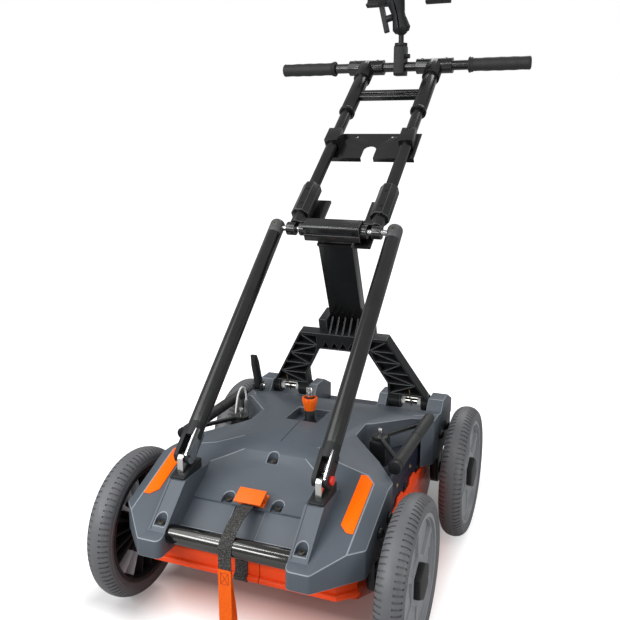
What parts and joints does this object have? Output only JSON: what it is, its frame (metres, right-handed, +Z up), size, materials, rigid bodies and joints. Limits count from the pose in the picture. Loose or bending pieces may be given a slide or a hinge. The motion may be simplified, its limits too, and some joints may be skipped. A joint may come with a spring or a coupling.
{
  "type": "ground penetrating radar",
  "caption": "Push cart with a ground penetrating radar antenna: moulded cover on wheels, antenna tray below, strut-braced folding handle with a tablet holder.",
  "frame": {"origin": "on the ground, under the middle of the cart's overall length and width", "axes": "+Z up, the front of the cart faces -Y, +X to the right as seen from the front camera"},
  "size_m": [0.684, 1.1486, 1.3485],
  "materials": {
    "cover": "satin",
    "chassis": "satin",
    "tray": "gloss",
    "orange": "gloss",
    "reflector": "satin",
    "black_tube": "satin",
    "black_steel": "satin",
    "black_plastic": "matte",
    "steel": "polished",
    "white_plastic": "satin",
    "tyre": "matte",
    "rim": "satin",
    "grip": "matte",
    "webbing": "matte",
    "loop": "matte",
    "lead": "satin",
    "boot": "matte",
    "electronics": "matte"
  },
  "bodies": {
    "cart": {"top_cover": "cover", "chassis_frame": "chassis", "front_bar": "black_tube", "side_reflectors": "reflector", "cover_bolts": "black_steel", "strut_feet": "black_plastic", "strut_tongues": "steel", "socket_post": "black_plastic", "side_brackets": "black_steel", "right_carry_handle": "black_steel", "left_carry_handle": "black_steel", "encoder_lead": "lead", "cable_boot": "boot", "wheel_encoder": "black_plastic", "control_unit": "electronics", "battery_pack": "electronics", "buckle_frame": "orange", "strap_tail": "webbing", "pull_loop": "loop", "wheel_brackets": "black_steel", "axle_studs": "steel"},
    "antenna": {"antenna_tray": "tray", "antenna_modules": "electronics", "lift_strap": "webbing"},
    "buckle_lever": {"buckle_lever": "orange"},
    "collar": {"socket_collar": "orange"},
    "brake_lever": {"brake_lever": "black_plastic"},
    "frame": {"rear_bridge": "black_plastic", "column": "black_tube", "hinge_block": "black_tube", "hinge_shaft": "steel", "hinge_pins": "steel", "hinge_bushes": "white_plastic"},
    "left_strut": {"left_strut": "black_tube"},
    "right_strut": {"right_strut": "black_tube"},
    "handle_lower": {"handle_sockets": "black_tube", "inner_tubes": "black_tube", "accessory_plate": "black_tube"},
    "handle_upper": {"outer_tubes": "black_tube", "crossbar": "black_tube", "t_clamps": "black_tube", "handlebar": "black_tube", "grips": "grip", "claw_clamp": "black_plastic"},
    "mount_arm": {"socket_arm": "black_plastic"},
    "t_knob": {"t_knob": "black_plastic"},
    "holder": {"holder_body": "black_plastic"},
    "holder_jaw": {"holder_jaw": "black_plastic"},
    "front_left_wheel": {"front_left_tyre": "tyre", "front_left_rim": "rim", "front_left_hub_cap": "black_plastic"},
    "front_right_wheel": {"front_right_tyre": "tyre", "front_right_rim": "rim", "front_right_hub_cap": "black_plastic"},
    "rear_left_wheel": {"rear_left_tyre": "tyre", "rear_left_rim": "rim", "rear_left_hub_cap": "black_plastic"},
    "rear_right_wheel": {"rear_right_tyre": "tyre", "rear_right_rim": "rim", "rear_right_hub_cap": "black_plastic"}
  },
  "joints": [
    {"name": "front_left_wheel_spin", "type": "hinge", "parent": "cart", "child": "front_left_wheel", "pos_m": [-0.285, -0.3943, 0.152], "axis": [1, 0, 0], "continuous": true},
    {"name": "front_right_wheel_spin", "type": "hinge", "parent": "cart", "child": "front_right_wheel", "pos_m": [0.285, -0.3943, 0.152], "axis": [1, 0, 0], "continuous": true},
    {"name": "rear_left_wheel_spin", "type": "hinge", "parent": "cart", "child": "rear_left_wheel", "pos_m": [-0.285, 0.0937, 0.152], "axis": [1, 0, 0], "continuous": true},
    {"name": "rear_right_wheel_spin", "type": "hinge", "parent": "cart", "child": "rear_right_wheel", "pos_m": [0.285, 0.0937, 0.152], "axis": [1, 0, 0], "continuous": true},
    {"name": "frame_fold", "type": "hinge", "parent": "cart", "child": "frame", "pos_m": [0, 0.1037, 0.306], "axis": [-1, 0, 0], "range_deg": [0, 60]},
    {"name": "left_strut_swing", "type": "hinge", "parent": "frame", "child": "left_strut", "pos_m": [-0.138, -0.0216, 0.7219], "axis": [-1, 0, 0], "range_deg": [0, 75]},
    {"name": "right_strut_swing", "type": "hinge", "parent": "frame", "child": "right_strut", "pos_m": [0.138, -0.0216, 0.7219], "axis": [-1, 0, 0], "range_deg": [0, 75]},
    {"name": "handle_fold", "type": "hinge", "parent": "frame", "child": "handle_lower", "pos_m": [0, -0.0216, 0.7219], "axis": [1, 0, 0], "range_deg": [0, 150]},
    {"name": "handle_extend", "type": "slide", "parent": "handle_lower", "child": "handle_upper", "axis": [0, 0.8007, 0.599], "range_m": [0, 0.1]},
    {"name": "mount_turn", "type": "hinge", "parent": "handle_upper", "child": "mount_arm", "pos_m": [0, 0.49143, 1.20369], "axis": [0, 0, 1], "range_deg": [-90, 90]},
    {"name": "holder_tilt", "type": "hinge", "parent": "mount_arm", "child": "holder", "pos_m": [-0.01693, 0.49143, 1.27161], "axis": [1, 0, 0], "range_deg": [-12, 12]},
    {"name": "t_knob_turn", "type": "hinge", "parent": "mount_arm", "child": "t_knob", "pos_m": [-0.00847, 0.49143, 1.23765], "axis": [0.9703, 0, 0.2419], "continuous": true},
    {"name": "jaw_slide", "type": "slide", "parent": "holder", "child": "holder_jaw", "axis": [0, -0.9397, 0.342], "range_m": [0, 0.06], "stiffness_N_per_m": 150, "springref_m": -0.02},
    {"name": "brake_swing", "type": "hinge", "parent": "cart", "child": "brake_lever", "pos_m": [-0.221, 0.0447, 0.318], "axis": [-1, 0, 0], "range_deg": [0, 40]},
    {"name": "collar_lift", "type": "slide", "parent": "cart", "child": "collar", "axis": [0, 0, 1], "range_m": [0, 0.006], "stiffness_N_per_m": 400, "springref_m": -0.003},
    {"name": "buckle_open", "type": "hinge", "parent": "cart", "child": "buckle_lever", "pos_m": [0, -0.44182, 0.28107], "axis": [-1, 0, 0], "range_deg": [0, 60], "stiffness_Nm_per_rad": 0.1, "springref_deg": -17.19},
    {"name": "antenna_drop", "type": "slide", "parent": "cart", "child": "antenna", "axis": [0, 0, 1], "range_m": [-0.05, 0]}
  ]
}
